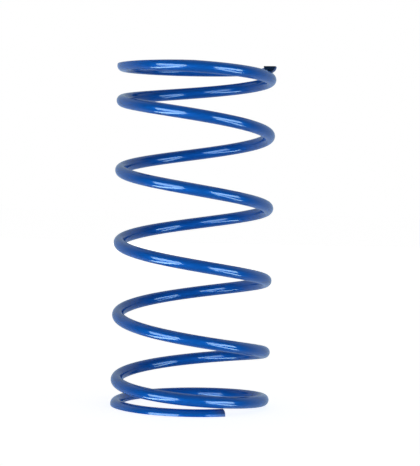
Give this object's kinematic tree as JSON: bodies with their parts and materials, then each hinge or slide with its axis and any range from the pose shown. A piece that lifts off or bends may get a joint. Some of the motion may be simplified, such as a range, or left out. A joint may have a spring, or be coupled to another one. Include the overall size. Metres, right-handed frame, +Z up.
{
  "type": "variator spring",
  "caption": "Left-hand helical compression spring of round wire painted gloss blue, with closed and ground ends, that presses a belt variator's pulley halves together.",
  "frame": {"origin": "on the coil axis, in the plane of the lower ground face on which the spring stands", "axes": "+Z up along the coil axis, +X to the right and -Y towards the viewer in the picture's view"},
  "size_m": [0.0542, 0.0542, 0.1162],
  "materials": {
    "blue_paint": "gloss"
  },
  "bodies": {
    "root": {"spring_coil": "blue_paint"}
  },
  "joints": []
}
